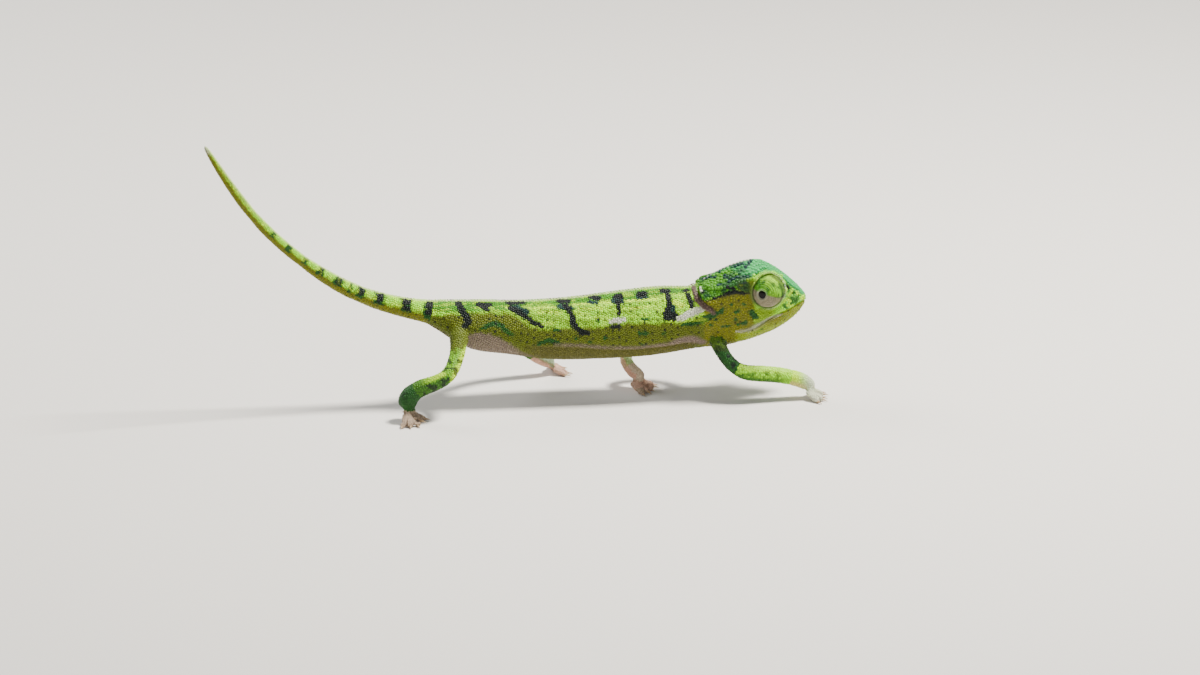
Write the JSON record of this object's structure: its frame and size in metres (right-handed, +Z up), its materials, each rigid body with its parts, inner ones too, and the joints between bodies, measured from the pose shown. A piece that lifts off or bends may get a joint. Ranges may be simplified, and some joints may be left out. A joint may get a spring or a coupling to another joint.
{
  "type": "flap-necked chameleon, young animal walking",
  "caption": "Life-size young chameleon walking, tail raised in a smooth curve, eye turned back; low casque, flat-sided trunk, grasping feet in opposed bundles of toes.",
  "frame": {"origin": "middle of the whole animal's box on the floor its feet stand on", "axes": "+X from tail to head, +Y to the animal's left, +Z up"},
  "size_m": [0.0736, 0.022, 0.0327],
  "materials": {
    "casque": "scaly skin, mint green with teal and yellow-green mottling",
    "jaw": "fine scaly skin, mustard yellow with dark spots",
    "flank": "granular scaly skin, bright yellow-green with dark green bars and dots",
    "tail": "ringed scaly skin, yellow-green with dark saddles, fading to cream",
    "lid": "fine scaly skin in rings, lime above and grey-tan below",
    "limb": "granular scaly skin, light green with dark mottling",
    "sole": "fine soft skin, cream above and pink-brown below, with horn claws",
    "eye": "wet black pupil with a thin brown-gold ring"
  },
  "bodies": {
    "root": {"head": "casque", "lower_jaw": "jaw", "neck": "flank", "trunk": "flank", "tail_1": "tail", "tail_2": "tail", "tail_3": "tail", "tail_4": "tail", "eyelids_right": "lid", "eye_right": "eye", "eyelids_left": "lid", "eye_left": "eye", "upper_arm_right": "limb", "forearm_right": "limb", "hand_right": "sole", "hand_right_inner_toes": "sole", "hand_right_outer_toes": "sole", "upper_arm_left": "limb", "forearm_left": "limb", "hand_left": "sole", "hand_left_inner_toes": "sole", "hand_left_outer_toes": "sole", "thigh_right": "limb", "shank_right": "limb", "foot_right": "sole", "foot_right_inner_toes": "sole", "foot_right_outer_toes": "sole", "thigh_left": "limb", "shank_left": "limb", "foot_left": "sole", "foot_left_inner_toes": "sole", "foot_left_outer_toes": "sole"}
  },
  "joints": []
}
